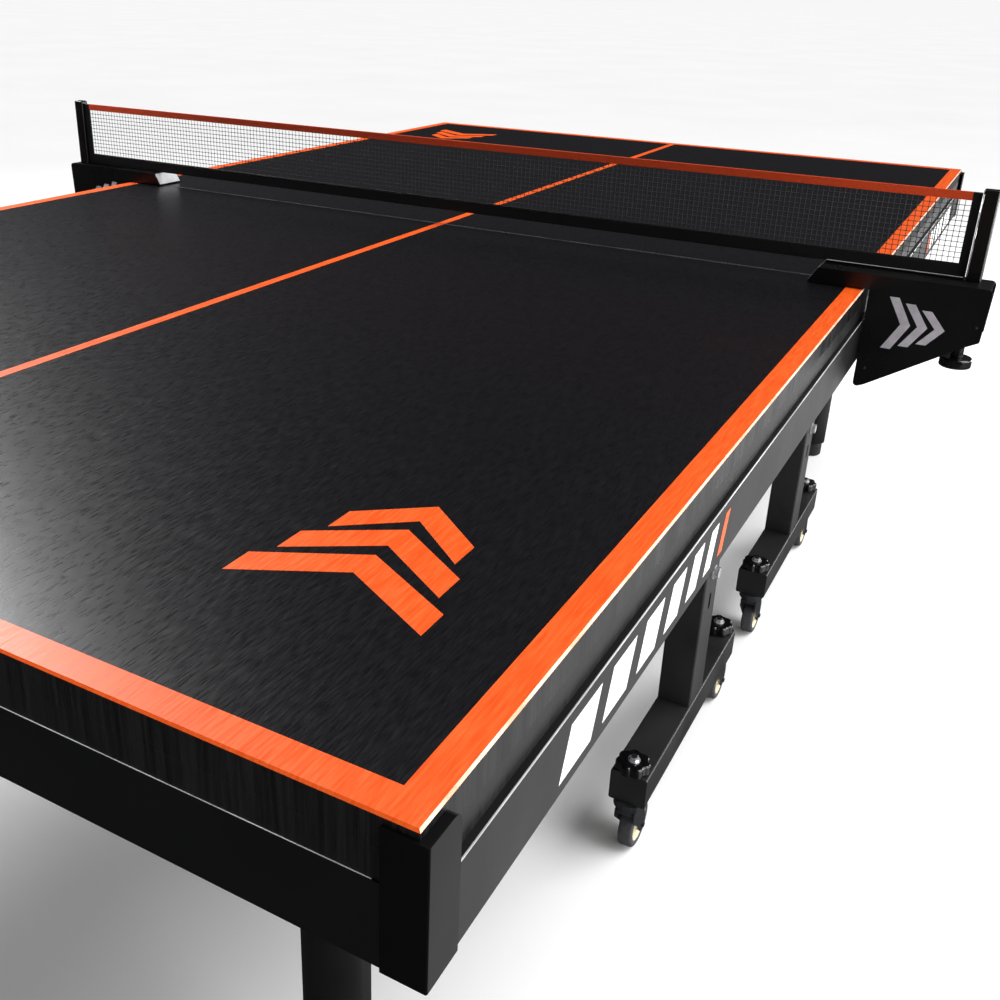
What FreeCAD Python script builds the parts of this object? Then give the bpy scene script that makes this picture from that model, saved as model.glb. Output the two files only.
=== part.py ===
"""Ping pong table: two tilting halves on wheeled undercarriages, with a net set on the seam.

Millimetres. The origin is on the floor, under the middle of the net. +Y runs along the table,
+X across it and +Z up. The near half is at -Y and the far half at +Y.
"""
import FreeCAD, Part
import math
import os

V = FreeCAD.Vector

# ---------------------------------------------------------------- driving dimensions
TABLE_LENGTH = 2740.0
TABLE_WIDTH = 1525.0
TABLE_HEIGHT = 760.0
SEAM_GAP = 3.0                 # between the two halves

BOARD_THICKNESS = 25.0
BOARD_CHAMFER = 1.5
EDGE_DEPTH = 49.0              # board and the rail glued under its rim
EDGE_RAIL_WIDTH = 24.0

APRON_HEIGHT = 65.0
APRON_PROUD_SIDE = 6.0         # how far the steel stands out past the wood, at the sides
APRON_PROUD_END = 1.0
SHEET = 2.0
APRON_TOP_FLANGE = 22.0
APRON_BOTTOM_FLANGE = 18.0

GUARD_SHEET = 1.5
GUARD_ALONG_SIDE = 37.0
GUARD_ALONG_END = 32.0
GUARD_TOP_DROP = 7.0           # from the playing surface to the guard's top
GUARD_BELOW_APRON = 1.5
GUARD_CORNER_RADIUS = 9.0

POST_X = 637.0                 # centre plane of posts, beams and casters
POST_WIDTH = 52.0
POST_DEPTH = 67.0
POST_Y = 332.5
POST_TOP = 700.0
POST_WALL = 3.0
BEAM_WIDTH = 54.0
BEAM_HEIGHT = 50.0
BEAM_TOP = 155.0
BEAM_INNER_Y = 110.0
BEAM_OUTER_Y = 560.0
BEAM_WALL = 2.5
CROSS_TUBE = 40.0
CROSS_TUBE_Z = 560.0

PIVOT_Y = 308.0
PIVOT_Z = 720.0
PIVOT_PIN_R = 6.0
RUNNING = 0.08                 # radial clearance of a turning pin in its hole
EAR_SHEET = 4.0
EAR_RADIUS = 11.0

RAIL_X = 686.0                 # centre of the long underframe rails
RAIL_WIDTH = 28.0
RAIL_HEIGHT = 28.0
PIVOT_PLATE = 4.0

LEG_X = 545.0
LEG_Y = 1145.0
LEG_RADIUS = 33.0
LEG_WALL = 2.0
LEG_TOP = 710.0
LEG_PIVOT_Z = 690.0
LEG_PIN_R = 5.0
LEG_BAR_RADIUS = 14.0
LEG_BAR_Z = 630.0
FOOT_RADIUS = 28.0
FOOT_HEIGHT = 38.0

CASTER_Y = (126.0, 546.0)      # inner and outer caster of a beam
WHEEL_RADIUS = 37.5
WHEEL_WIDTH = 22.0
CASTER_TRAIL = 32.0
CASTER_STEM_R = 6.0
AXLE_R = 4.0
BRAKE_PIN_R = 2.0
BRAKE_PIN_Y = 26.0             # from the caster's stem
BRAKE_PIN_Z = 81.0
KNOB_STUD_R = 5.0
KNOB_LOBES = 7

NET_TOP = TABLE_HEIGHT + 152.5
NET_BOTTOM = 786.5
NET_HALF_WIDTH = 893.5
NET_THICKNESS = 3.0
NET_POST_X = 905.5
NET_POST_WIDTH = 22.0
NET_POST_DEPTH = 18.0
NET_POST_BOTTOM = 716.0
NET_POST_TOP = 918.0
BRACKET_FRONT_Y = -49.0        # of the right bracket; the left one is turned half round
BRACKET_BACK_Y = 18.0
BRACKET_TOP = 785.0
BRACKET_TIP_X = 678.0
BRACKET_OUTER_X = 937.0
BRACKET_GUIDE_Z = 704.0
SCREW_R = 4.0

# ---------------------------------------------------------------- derived places
HALF_WIDTH = TABLE_WIDTH / 2
END_Y = TABLE_LENGTH / 2
BOARD_BOTTOM = TABLE_HEIGHT - BOARD_THICKNESS
EDGE_BOTTOM = TABLE_HEIGHT - EDGE_DEPTH
APRON_BOTTOM = EDGE_BOTTOM - APRON_HEIGHT
APRON_SIDE_X = HALF_WIDTH + APRON_PROUD_SIDE
APRON_END_Y = END_Y + APRON_PROUD_END
SEAM_Y = SEAM_GAP / 2
POST_INNER_X = POST_X - POST_WIDTH / 2
POST_OUTER_X = POST_X + POST_WIDTH / 2
BEAM_BOTTOM = BEAM_TOP - BEAM_HEIGHT
RAIL_INNER_X = RAIL_X - RAIL_WIDTH / 2
RAIL_OUTER_X = RAIL_X + RAIL_WIDTH / 2
RAIL_BOTTOM = BOARD_BOTTOM - RAIL_HEIGHT


# ---------------------------------------------------------------- shape helpers
def box(x0, x1, y0, y1, z0, z1):
    """A block between two corners."""
    return Part.makeBox(x1 - x0, y1 - y0, z1 - z0, V(x0, y0, z0))


def rod(radius, start, end):
    """A round bar from start to end."""
    direction = V(*end) - V(*start)
    return Part.makeCylinder(radius, direction.Length, V(*start), direction)


def ring(outer, inner, start, end):
    """A round tube from start to end."""
    return rod(outer, start, end).cut(rod(inner, start, end))


def prism_x(outline, x0, x1):
    """An outline of (y, z) points, extruded along X."""
    points = [V(x0, y, z) for y, z in outline]
    return Part.Face(Part.makePolygon(points + points[:1])).extrude(V(x1 - x0, 0, 0))


def prism_y(outline, y0, y1):
    """An outline of (x, z) points, extruded along Y."""
    points = [V(x, y0, z) for x, z in outline]
    return Part.Face(Part.makePolygon(points + points[:1])).extrude(V(0, y1 - y0, 0))


def rounded(shape, radius, direction, where=lambda centre: True):
    """Round the straight edges that run along direction and satisfy where."""
    chosen = []
    for edge in shape.Edges:
        if not isinstance(edge.Curve, Part.Line):
            continue
        along = abs(edge.tangentAt(edge.FirstParameter).dot(direction))
        if along > 0.999 and where(edge.CenterOfMass):
            chosen.append(edge)
    return shape.makeFillet(radius, chosen)


def rect_tube(x0, x1, y0, y1, z0, z1, wall, axis):
    """A rectangular tube, open at both ends along axis."""
    outer = box(x0, x1, y0, y1, z0, z1)
    grow = {"x": (0, wall, wall), "y": (wall, 0, wall), "z": (wall, wall, 0)}[axis]
    gx, gy, gz = grow
    inner = box(x0 + gx, x1 - gx, y0 + gy, y1 - gy, z0 + gz, z1 - gz)
    along = {"x": V(1, 0, 0), "y": V(0, 1, 0), "z": V(0, 0, 1)}[axis]
    return rounded(outer, wall * 1.2, along).cut(inner)


def mirror_x(shape):
    return shape.mirror(V(0, 0, 0), V(1, 0, 0))


def mirror_y(shape):
    return shape.mirror(V(0, 0, 0), V(0, 1, 0))


def both_sides(shape):
    """The shape and its mirror image on the other long side."""
    return [shape, mirror_x(shape)]


def moved(shape, x, y, z=0.0):
    copy = shape.copy()
    copy.translate(V(x, y, z))
    return copy


def save(name, solids):
    """Write one sub-part. Several solids stay separate inside it."""
    shape = solids[0] if len(solids) == 1 else Part.makeCompound(solids)
    shape.exportStep("parts/" + name + ".step")


# ---------------------------------------------------------------- one half, drawn at -Y
def top_board():
    board = box(-HALF_WIDTH, HALF_WIDTH, -END_Y, -SEAM_Y, BOARD_BOTTOM, TABLE_HEIGHT)
    rim = [edge for edge in board.Edges if edge.CenterOfMass.z > TABLE_HEIGHT - 0.01]
    return [board.makeChamfer(BOARD_CHAMFER, rim)]


def edge_rails():
    inner_x = HALF_WIDTH - EDGE_RAIL_WIDTH
    side = box(inner_x, HALF_WIDTH, -END_Y, -SEAM_Y, EDGE_BOTTOM, BOARD_BOTTOM)
    end_y = -END_Y + EDGE_RAIL_WIDTH
    end = box(-inner_x, inner_x, -END_Y, end_y, EDGE_BOTTOM, BOARD_BOTTOM)
    # the seam strip stops short of the posts, which it would strike as the half tilts
    seam_x = POST_INNER_X - 16.0
    seam_y = -SEAM_Y - EDGE_RAIL_WIDTH
    seam = box(-seam_x, seam_x, seam_y, -SEAM_Y, EDGE_BOTTOM, BOARD_BOTTOM)
    return both_sides(side) + [end, seam]


def apron_outline(outer, inward):
    """Channel section: outer is the web's outer face, inward is the sign towards the table."""
    top_lip = outer + inward * APRON_TOP_FLANGE
    bottom_lip = outer + inward * APRON_BOTTOM_FLANGE
    web = outer + inward * SHEET
    return [
        (outer, APRON_BOTTOM), (outer, EDGE_BOTTOM), (top_lip, EDGE_BOTTOM),
        (top_lip, EDGE_BOTTOM - SHEET), (web, EDGE_BOTTOM - SHEET),
        (web, APRON_BOTTOM + SHEET), (bottom_lip, APRON_BOTTOM + SHEET),
        (bottom_lip, APRON_BOTTOM),
    ]


def apron():
    side = prism_y(apron_outline(APRON_SIDE_X, -1), -APRON_END_Y, -SEAM_Y)
    end_x = APRON_SIDE_X - APRON_TOP_FLANGE
    end = prism_x(apron_outline(-APRON_END_Y, 1), -end_x, end_x)
    return both_sides(side) + [end]


def corner_guard():
    outer_x = APRON_SIDE_X + GUARD_SHEET
    outer_y = -APRON_END_Y - GUARD_SHEET
    top = TABLE_HEIGHT - GUARD_TOP_DROP
    bottom = APRON_BOTTOM - GUARD_BELOW_APRON
    guard = box(outer_x - GUARD_ALONG_END, outer_x, outer_y, outer_y + GUARD_ALONG_SIDE, bottom, top)
    guard = rounded(
        guard, GUARD_CORNER_RADIUS, V(1, 0, 0),
        lambda c: c.z > top - 1 and c.y > outer_y + GUARD_ALONG_SIDE - 1)
    guard = rounded(guard, GUARD_SHEET, V(0, 0, 1), lambda c: c.x > outer_x - 1 and c.y < outer_y + 1)
    apron_space = box(0, APRON_SIDE_X, -APRON_END_Y, 0, bottom - 1, top - GUARD_SHEET)
    wood_space = box(0, HALF_WIDTH, -END_Y, 0, bottom - 1, top + 1)
    return both_sides(guard.cut(apron_space).cut(wood_space))


def frame_rails():
    """Long rails with the pivot plates welded on, and the cross rail near the end."""
    rail_end = -END_Y + 40.0
    rail = rect_tube(
        RAIL_INNER_X, RAIL_OUTER_X, rail_end, -30.0, RAIL_BOTTOM, BOARD_BOTTOM, SHEET, "y")
    plate = box(RAIL_INNER_X - PIVOT_PLATE, RAIL_INNER_X, -350.0, -285.0, RAIL_BOTTOM, BOARD_BOTTOM)
    plate = rounded(plate, 8.0, V(1, 0, 0), lambda c: c.z < RAIL_BOTTOM + 1)
    hole = rod(
        PIVOT_PIN_R + RUNNING,
        (RAIL_INNER_X - 10, -PIVOT_Y, PIVOT_Z), (RAIL_OUTER_X + 10, -PIVOT_Y, PIVOT_Z))
    rail = rail.fuse(plate).removeSplitter().cut(hole)
    cross = rect_tube(
        -RAIL_INNER_X, RAIL_INNER_X, -1290.0, -1260.0, EDGE_BOTTOM, BOARD_BOTTOM, SHEET, "x")
    return both_sides(rail) + [cross]


def leg_brackets():
    """A channel over each leg's head, and the pin that the leg turns on."""
    gap = LEG_RADIUS + 1.0
    cheek = 3.0
    y0, y1 = -LEG_Y - 30.0, -LEG_Y + 30.0
    outer = box(LEG_X - gap - cheek, LEG_X + gap + cheek, y0, y1, 664.0, BOARD_BOTTOM)
    outer = rounded(outer, 16.0, V(1, 0, 0), lambda c: c.z < 665.0)
    inner = box(LEG_X - gap, LEG_X + gap, y0 - 1, y1 + 1, 600.0, BOARD_BOTTOM - cheek)
    pin_reach = gap + cheek + 4.0
    pin = rod(LEG_PIN_R, (LEG_X - pin_reach, -LEG_Y, LEG_PIVOT_Z), (LEG_X + pin_reach, -LEG_Y, LEG_PIVOT_Z))
    channel = outer.cut(inner).cut(pin)
    heads = [
        rod(9.0, (LEG_X + s * (gap + cheek), -LEG_Y, LEG_PIVOT_Z),
            (LEG_X + s * pin_reach, -LEG_Y, LEG_PIVOT_Z))
        for s in (-1, 1)
    ]
    pin = pin.fuse(heads[0]).fuse(heads[1]).removeSplitter()
    return both_sides(channel) + both_sides(pin)


def leg_frame():
    """Both round legs and the bar that joins them near the pivots."""
    leg = ring(LEG_RADIUS, LEG_RADIUS - LEG_WALL, (LEG_X, -LEG_Y, FOOT_HEIGHT), (LEG_X, -LEG_Y, LEG_TOP))
    hole = rod(
        LEG_PIN_R + RUNNING,
        (LEG_X - LEG_RADIUS - 1, -LEG_Y, LEG_PIVOT_Z), (LEG_X + LEG_RADIUS + 1, -LEG_Y, LEG_PIVOT_Z))
    leg = leg.cut(hole)
    reach = LEG_X - LEG_RADIUS + 1.0
    bar = ring(
        LEG_BAR_RADIUS, LEG_BAR_RADIUS - LEG_WALL, (-reach, -LEG_Y, LEG_BAR_Z), (reach, -LEG_Y, LEG_BAR_Z))
    core = rod(LEG_RADIUS, (LEG_X, -LEG_Y, 0), (LEG_X, -LEG_Y, LEG_TOP))
    bar = bar.cut(core).cut(mirror_x(core))
    return both_sides(leg) + [bar]


def leg_feet():
    """Rubber foot with a plug that fills the tube's end."""
    profile = [
        (0, 0), (FOOT_RADIUS - 3, 0), (FOOT_RADIUS, 3), (FOOT_RADIUS, FOOT_HEIGHT - 10),
        (FOOT_RADIUS - 5, FOOT_HEIGHT), (LEG_RADIUS - LEG_WALL, FOOT_HEIGHT),
        (LEG_RADIUS - LEG_WALL, FOOT_HEIGHT + 22), (0, FOOT_HEIGHT + 22),
    ]
    points = [V(r, 0, z) for r, z in profile]
    foot = Part.Face(Part.makePolygon(points + points[:1])).revolve(V(0, 0, 0), V(0, 0, 1), 360)
    return both_sides(moved(foot, LEG_X, -LEG_Y))


# ---------------------------------------------------------------- undercarriage, drawn at -Y
def posts():
    """Upright with two pivot ears; the outer face has a slot and a bolt hole."""
    y0, y1 = -POST_Y - POST_DEPTH / 2, -POST_Y + POST_DEPTH / 2
    post = rect_tube(POST_INNER_X, POST_OUTER_X, y0, y1, BEAM_TOP, POST_TOP, POST_WALL, "z")
    slot = box(POST_X, POST_OUTER_X + 1, -POST_Y - 5, -POST_Y + 5, 316.0, 344.0)
    slot = rounded(slot, 4.9, V(1, 0, 0))
    post = post.cut(slot)
    ear_y0 = y0 + 12.0
    for x0 in (POST_INNER_X - EAR_SHEET, POST_OUTER_X):
        root = box(x0, x0 + EAR_SHEET, ear_y0, y1 - 3.0, 640.0, POST_TOP)
        head = rod(EAR_RADIUS, (x0, -PIVOT_Y, PIVOT_Z), (x0 + EAR_SHEET, -PIVOT_Y, PIVOT_Z))
        web = prism_x([
            (ear_y0, POST_TOP), (y1 - 3.0, POST_TOP), (-PIVOT_Y + EAR_RADIUS, PIVOT_Z),
            (-PIVOT_Y, PIVOT_Z + EAR_RADIUS)], x0, x0 + EAR_SHEET)
        post = post.fuse(root).fuse(head).fuse(web)
    bolt = rod(PIVOT_PIN_R, (POST_INNER_X - 20, -PIVOT_Y, PIVOT_Z), (POST_OUTER_X + 20, -PIVOT_Y, PIVOT_Z))
    return both_sides(post.removeSplitter().cut(bolt))


def foot_beams():
    """Rectangular tube with end caps, drilled for the caster stems and knob studs."""
    x0, x1 = POST_X - BEAM_WIDTH / 2, POST_X + BEAM_WIDTH / 2
    beam = rect_tube(x0, x1, -BEAM_OUTER_Y, -BEAM_INNER_Y, BEAM_BOTTOM, BEAM_TOP, BEAM_WALL, "y")
    for y in CASTER_Y:
        low = rod(CASTER_STEM_R + RUNNING, (POST_X, -y, BEAM_BOTTOM - 1), (POST_X, -y, BEAM_BOTTOM + 10))
        high = rod(KNOB_STUD_R + RUNNING, (POST_X, -y, BEAM_TOP - 10), (POST_X, -y, BEAM_TOP + 1))
        beam = beam.cut(low).cut(high)
    caps = [
        box(x0 + BEAM_WALL, x1 - BEAM_WALL, y, y + 4.0, BEAM_BOTTOM + BEAM_WALL, BEAM_TOP - BEAM_WALL)
        for y in (-BEAM_OUTER_Y, -BEAM_INNER_Y - 4.0)
    ]
    return both_sides(beam) + [c for cap in caps for c in both_sides(cap)]


def cross_tube():
    y0 = -POST_Y - CROSS_TUBE / 2
    return [rect_tube(
        -POST_INNER_X, POST_INNER_X, y0, y0 + CROSS_TUBE, CROSS_TUBE_Z - CROSS_TUBE / 2,
        CROSS_TUBE_Z + CROSS_TUBE / 2, SHEET, "x")]


def hexagon_x(across, x0, x1, y, z):
    """A hexagon head with its flats across, facing along X."""
    radius = across / math.sqrt(3)
    outline = [
        (y + radius * math.cos(math.radians(60 * i)), z + radius * math.sin(math.radians(60 * i)))
        for i in range(6)
    ]
    return prism_x(outline, x0, x1)


def fasteners():
    """Pivot bolts, each with a head and a nut, and the domed bolt on each post."""
    head_x = POST_INNER_X - EAR_SHEET
    nut_x = RAIL_OUTER_X + 0.5
    pivot = rod(PIVOT_PIN_R, (head_x, -PIVOT_Y, PIVOT_Z), (nut_x + 9.0, -PIVOT_Y, PIVOT_Z))
    pivot = pivot.fuse(hexagon_x(18.0, head_x - 6.0, head_x, -PIVOT_Y, PIVOT_Z))
    pivot = pivot.fuse(hexagon_x(18.0, nut_x, nut_x + 7.0, -PIVOT_Y, PIVOT_Z)).removeSplitter()
    bolt_z = 380.0
    washer = rod(11.0, (POST_OUTER_X, -POST_Y, bolt_z), (POST_OUTER_X + 2.0, -POST_Y, bolt_z))
    head = hexagon_x(16.0, POST_OUTER_X + 2.0, POST_OUTER_X + 9.0, -POST_Y, bolt_z)
    return both_sides(pivot) + both_sides(washer.fuse(head).removeSplitter())


# ---------------------------------------------------------------- casters and knobs, drawn at x = y = 0
def caster_fork():
    """Swivel head with its stem, and a yoke that trails towards +Y to the wheel's axle."""
    head_top = BEAM_BOTTOM - 0.4
    stem = rod(CASTER_STEM_R, (0, 0, 92.0), (0, 0, BEAM_BOTTOM + 14.0))
    head = rod(22.0, (0, 0, 95.0), (0, 0, head_top)).fuse(rod(18.0, (0, 0, 89.0), (0, 0, 96.0)))
    cheek_gap = WHEEL_WIDTH / 2 + 1.2
    cheek = 2.5
    crown = box(-cheek_gap - cheek, cheek_gap + cheek, -16.0, 34.0, 84.0, 90.0)
    fork = stem.fuse(head).fuse(crown)
    axle_z = WHEEL_RADIUS
    outline = [
        (-16.0, 90.0), (-16.0, 76.0), (CASTER_TRAIL - 11.0, axle_z),
        (CASTER_TRAIL + 11.0, axle_z), (34.0, 84.0), (34.0, 90.0),
    ]
    for x0 in (-cheek_gap - cheek, cheek_gap):
        fork = fork.fuse(prism_x(outline, x0, x0 + cheek))
        fork = fork.fuse(rod(11.0, (x0, CASTER_TRAIL, axle_z), (x0 + cheek, CASTER_TRAIL, axle_z)))
    axle_end = cheek_gap + cheek + 3.0
    axle = rod(AXLE_R, (-axle_end, CASTER_TRAIL, axle_z), (axle_end, CASTER_TRAIL, axle_z))
    pin_hole = rod(BRAKE_PIN_R + RUNNING, (-20, BRAKE_PIN_Y, BRAKE_PIN_Z), (20, BRAKE_PIN_Y, BRAKE_PIN_Z))
    return fork.fuse(axle).removeSplitter().cut(pin_hole)


def caster_wheel():
    """Tread with rounded shoulders, a sunk web and a hub bored for the axle."""
    half = WHEEL_WIDTH / 2
    wheel = rod(WHEEL_RADIUS, (-half, 0, 0), (half, 0, 0))
    rims = [edge for edge in wheel.Edges if isinstance(edge.Curve, Part.Circle)]
    wheel = wheel.makeFillet(5.0, rims)
    for side in (-1, 1):
        sunk = ring(26.0, 12.0, (side * (half - 3.0), 0, 0), (side * (half + 1.0), 0, 0))
        wheel = wheel.cut(sunk)
    wheel = wheel.cut(rod(AXLE_R + RUNNING, (-half - 1, 0, 0), (half + 1, 0, 0)))
    return moved(wheel, 0, CASTER_TRAIL, WHEEL_RADIUS)


def caster_brake():
    """Foot pedal over the back of the wheel; it turns on a pin through the yoke's cheeks."""
    reach, drop, thick, half = 62.0, 14.0, 3.0, 10.0
    y0, z0 = BRAKE_PIN_Y - 2.0, BRAKE_PIN_Z - 1.5
    slab = prism_x([
        (y0, z0), (y0 + reach, z0 - drop), (y0 + reach + 2.0, z0 - drop + thick),
        (y0 + 4.0, z0 + thick)], -half, half)
    lip = box(-half, half, y0 + reach - 4.0, y0 + reach + 2.0, z0 - drop, z0 - drop + thick + 2.5)
    pin_end = WHEEL_WIDTH / 2 + 4.5
    pin = rod(BRAKE_PIN_R, (-pin_end, BRAKE_PIN_Y, BRAKE_PIN_Z), (pin_end, BRAKE_PIN_Y, BRAKE_PIN_Z))
    return slab.fuse(lip).fuse(pin).removeSplitter()


def level_knob():
    """Lobed knob on the beam, with a threaded stud down into the tube."""
    base = BEAM_TOP + 0.4
    knob = rod(22.0, (0, 0, base + 3.0), (0, 0, base + 17.0))
    for i in range(KNOB_LOBES):
        angle = 2 * math.pi * i / KNOB_LOBES
        x, y = 16.5 * math.cos(angle), 16.5 * math.sin(angle)
        knob = knob.fuse(rod(8.5, (x, y, base + 3.0), (x, y, base + 17.0)))
    knob = knob.removeSplitter()
    edges = [e for e in knob.Edges if abs(e.CenterOfMass.z - base - 17.0) < 0.01]
    knob = knob.makeFillet(3.5, edges)
    knob = knob.fuse(rod(14.0, (0, 0, base), (0, 0, base + 3.5)))
    knob = knob.fuse(rod(KNOB_STUD_R, (0, 0, BEAM_BOTTOM + 22.0), (0, 0, base + 20.0)))
    return knob.removeSplitter()


# ---------------------------------------------------------------- net set, drawn on the +X side
def wing_outline():
    """Side view of the bracket's plates: a beak over the table and a wing outside the apron."""
    apron_x = APRON_SIDE_X + GUARD_SHEET + 1.0
    return [
        (BRACKET_TIP_X, TABLE_HEIGHT + 2.0), (BRACKET_TIP_X + 14.0, BRACKET_TOP),
        (BRACKET_OUTER_X, BRACKET_TOP), (BRACKET_OUTER_X - 3.0, 706.0),
        (BRACKET_OUTER_X - 20.0, 697.0), (787.0, 613.0), (apron_x, 606.0),
        (apron_x, TABLE_HEIGHT + 2.0),
    ]


def net_bracket():
    """Folded from one sheet: two wing plates, a top plate, a sloped beak and a foot on the apron."""
    y0, y1 = BRACKET_FRONT_Y, BRACKET_BACK_Y
    body = prism_y(wing_outline(), y0, y1)
    body = rounded(body, 7.0, V(0, 1, 0), lambda c: c.x > BRACKET_OUTER_X - 1 and c.z > BRACKET_TOP - 1)
    body = rounded(body, 4.0, V(0, 1, 0), lambda c: c.x > BRACKET_OUTER_X - 5 and c.z < 710)
    apron_x = APRON_SIDE_X + GUARD_SHEET + 1.0
    body = rounded(body, 7.0, V(0, 1, 0), lambda c: 780 < c.x < 790 and c.z < 620)
    body = rounded(body, 6.0, V(0, 1, 0), lambda c: c.x < apron_x + 1 and c.z < 620)
    outer_inside = BRACKET_OUTER_X + 20.0
    hollow = prism_y([
        (BRACKET_TIP_X + SHEET * 1.2, TABLE_HEIGHT - 1.0),
        (BRACKET_TIP_X + 14.0 + SHEET * 0.6, BRACKET_TOP - SHEET),
        (outer_inside, BRACKET_TOP - SHEET), (outer_inside, 590.0), (apron_x + SHEET, 590.0),
        (apron_x + SHEET, 690.0), (HALF_WIDTH, 690.0),
        (HALF_WIDTH, TABLE_HEIGHT - 1.0)], y0 + SHEET, y1 - SHEET)
    body = body.cut(hollow)
    ledge = box(BRACKET_TIP_X + 16.0, NET_HALF_WIDTH - 1.5, -7.0, -3.0, BRACKET_TOP - 1.0, BRACKET_TOP + 4.0)
    ledge = rounded(ledge, 1.5, V(1, 0, 0), lambda c: c.z > BRACKET_TOP + 3)
    guide = box(NET_POST_X - 22.0, NET_POST_X + 18.0, y0 + 1.0, y1 - 1.0,
                BRACKET_GUIDE_Z, BRACKET_GUIDE_Z + SHEET)
    body = body.fuse(ledge).fuse(guide).removeSplitter()
    clear = 0.4
    half_x, half_y = NET_POST_WIDTH / 2 + clear, NET_POST_DEPTH / 2 + clear
    post_hole = box(
        NET_POST_X - half_x, NET_POST_X + half_x, -half_y, half_y, BRACKET_TOP - 5, BRACKET_TOP + 5)
    screw_hole = rod(SCREW_R + RUNNING, (NET_POST_X, 0, 690.0), (NET_POST_X, 0, 710.0))
    return body.cut(rounded(post_hole, 4.0, V(0, 0, 1))).cut(screw_hole)


def bracket_pad():
    """Rubber strip between the beak's edge and the playing surface."""
    return box(
        BRACKET_TIP_X + 8.0, HALF_WIDTH - 10.0, BRACKET_FRONT_Y + SHEET + 2.0,
        BRACKET_BACK_Y - SHEET - 2.0, TABLE_HEIGHT + 0.5, TABLE_HEIGHT + 5.0)


def net_post():
    """Post tube with rounded corners and a closed, domed top."""
    half_x, half_y = NET_POST_WIDTH / 2, NET_POST_DEPTH / 2
    post = box(NET_POST_X - half_x, NET_POST_X + half_x, -half_y, half_y, NET_POST_BOTTOM, NET_POST_TOP)
    post = rounded(post, 3.5, V(0, 0, 1))
    top = [e for e in post.Edges if e.CenterOfMass.z > NET_POST_TOP - 0.01]
    post = post.makeFillet(2.5, top)
    bore = rod(SCREW_R + 1.5, (NET_POST_X, 0, NET_POST_BOTTOM - 1), (NET_POST_X, 0, NET_POST_TOP - 60))
    return post.cut(bore)


def net_screw():
    """Round knob, neck and the thread that lifts the post."""
    disc = rod(23.0, (NET_POST_X, 0, 652.0), (NET_POST_X, 0, 667.0))
    disc = disc.makeFillet(2.5, [e for e in disc.Edges if isinstance(e.Curve, Part.Circle)])
    neck = rod(9.0, (NET_POST_X, 0, 666.0), (NET_POST_X, 0, BRACKET_GUIDE_Z - 0.4))
    thread = rod(SCREW_R, (NET_POST_X, 0, 690.0), (NET_POST_X, 0, NET_POST_BOTTOM + 30.0))
    return disc.fuse(neck).fuse(thread).removeSplitter()


def net_fabric():
    half = NET_THICKNESS / 2
    return box(-NET_HALF_WIDTH, NET_HALF_WIDTH, -half, half, NET_BOTTOM, NET_TOP)


def half_turn(shape):
    """The shape turned half round the table's vertical axis."""
    copy = shape.copy()
    copy.rotate(V(0, 0, 0), V(0, 0, 1), 180)
    return copy


# ---------------------------------------------------------------- write every sub-part
HALF_PARTS = {
    "top_board": top_board,
    "edge_rails": edge_rails,
    "apron": apron,
    "corner_guards": corner_guard,
    "frame_rails": frame_rails,
    "leg_brackets": leg_brackets,
    "leg_frame": leg_frame,
    "leg_feet": leg_feet,
    "posts": posts,
    "foot_beams": foot_beams,
    "cross_tube": cross_tube,
    "fasteners": fasteners,
}


def save_halves():
    for name, make in HALF_PARTS.items():
        solids = make()
        save("near_" + name, solids)
        save("far_" + name, [mirror_y(solid) for solid in solids])


def save_casters():
    fork, wheel, brake, knob = caster_fork(), caster_wheel(), caster_brake(), level_knob()
    for half, half_sign in (("near", -1), ("far", 1)):
        for side, side_sign in (("left", -1), ("right", 1)):
            for place, distance in zip(("inner", "outer"), CASTER_Y):
                x, y = side_sign * POST_X, half_sign * distance
                stem = "_".join((half, side, place))
                save(stem + "_fork", [moved(fork, x, y)])
                save(stem + "_wheel", [moved(wheel, x, y)])
                save(stem + "_level_knob", [moved(knob, x, y)])
                if place == "outer":
                    save(stem + "_brake", [moved(brake, x, y)])


def save_net():
    for name, make in (("net_bracket", net_bracket), ("net_post", net_post), ("net_screw", net_screw)):
        shape = make()
        save(name + "_right", [shape])
        save(name + "_left", [half_turn(shape)])
    pad = bracket_pad()
    save("net_bracket_pads", [pad, half_turn(pad)])
    save("net_fabric", [net_fabric()])


os.makedirs("parts", exist_ok=True)
save_halves()
save_casters()
save_net()
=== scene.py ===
# Looks of the ping pong table: finishes for the CAD parts, painted lines and stripes, the net,
# wheels, nuts, trim and painted highlights, then the studio. Metres, in the CAD's frame: +Y along the
# table, +Z up.
import math

import bpy
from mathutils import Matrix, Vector


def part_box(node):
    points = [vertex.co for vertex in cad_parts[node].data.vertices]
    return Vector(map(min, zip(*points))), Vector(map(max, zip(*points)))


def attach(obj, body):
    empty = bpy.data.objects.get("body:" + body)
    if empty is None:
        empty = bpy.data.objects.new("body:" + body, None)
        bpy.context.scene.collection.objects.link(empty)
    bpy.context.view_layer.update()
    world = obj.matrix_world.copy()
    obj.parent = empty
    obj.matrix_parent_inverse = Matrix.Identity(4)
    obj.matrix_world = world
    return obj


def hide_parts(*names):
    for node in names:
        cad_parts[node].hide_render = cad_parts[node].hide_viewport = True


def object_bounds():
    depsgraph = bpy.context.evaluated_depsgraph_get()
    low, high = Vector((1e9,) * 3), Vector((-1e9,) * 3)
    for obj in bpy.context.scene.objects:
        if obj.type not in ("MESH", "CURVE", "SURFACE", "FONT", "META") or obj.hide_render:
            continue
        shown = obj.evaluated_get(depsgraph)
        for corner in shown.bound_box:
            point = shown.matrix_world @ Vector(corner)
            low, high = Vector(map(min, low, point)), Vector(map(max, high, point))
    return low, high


MM = 0.001
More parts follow.
